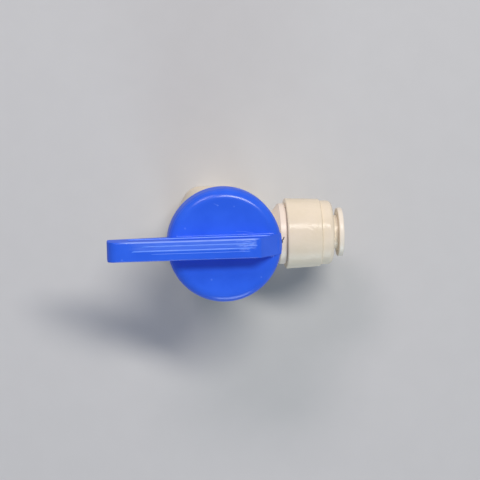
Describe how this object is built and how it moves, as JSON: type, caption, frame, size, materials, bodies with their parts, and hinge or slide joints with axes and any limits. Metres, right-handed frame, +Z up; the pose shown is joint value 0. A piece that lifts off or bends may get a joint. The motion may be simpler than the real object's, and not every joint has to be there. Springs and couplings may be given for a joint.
{
  "type": "tank ball valve",
  "caption": "Angle ball valve with a quarter-turn lever handle, a female-threaded hexagonal tank socket and a push-fit tube outlet at right angles to it.",
  "frame": {"origin": "centre of the tank thread's mouth, on the bottom face", "axes": "+Z up the stem to the handle, away from the tank; +X out of the tube outlet; the lever lies over -X when the valve is open"},
  "size_m": [0.056, 0.026, 0.0416],
  "materials": {
    "cream_plastic": "satin moulded acetal or polypropylene",
    "white_plastic": "satin moulded acetal",
    "blue_plastic": "semi-gloss moulded plastic",
    "seat_plastic": "waxy white seat plastic",
    "black_rubber": "smooth black seal rubber",
    "tooth_steel": "bright stamped stainless steel"
  },
  "bodies": {
    "body": {"valve_body": "cream_plastic", "inlet_retainer": "white_plastic", "inlet_seat": "seat_plastic", "outlet_seat": "seat_plastic", "stem_washer": "seat_plastic", "outlet_housing": "cream_plastic", "spigot_o_ring": "black_rubber", "tube_o_ring": "black_rubber", "o_ring_spacer": "white_plastic", "collet_cap": "cream_plastic"},
    "handle": {"handle": "blue_plastic", "stem": "white_plastic", "stem_o_ring_lower": "black_rubber", "stem_o_ring_upper": "black_rubber", "ball": "white_plastic"},
    "collet": {"collet": "white_plastic", "collet_teeth": "tooth_steel"}
  },
  "joints": [
    {"name": "handle_turn", "type": "hinge", "parent": "body", "child": "handle", "pos_m": [0, 0, 0.0286], "axis": [0, 0, 1], "range_deg": [-90, 0]},
    {"name": "collet_release", "type": "slide", "parent": "body", "child": "collet", "axis": [1, 0, 0], "range_m": [-0.001, 0]}
  ]
}
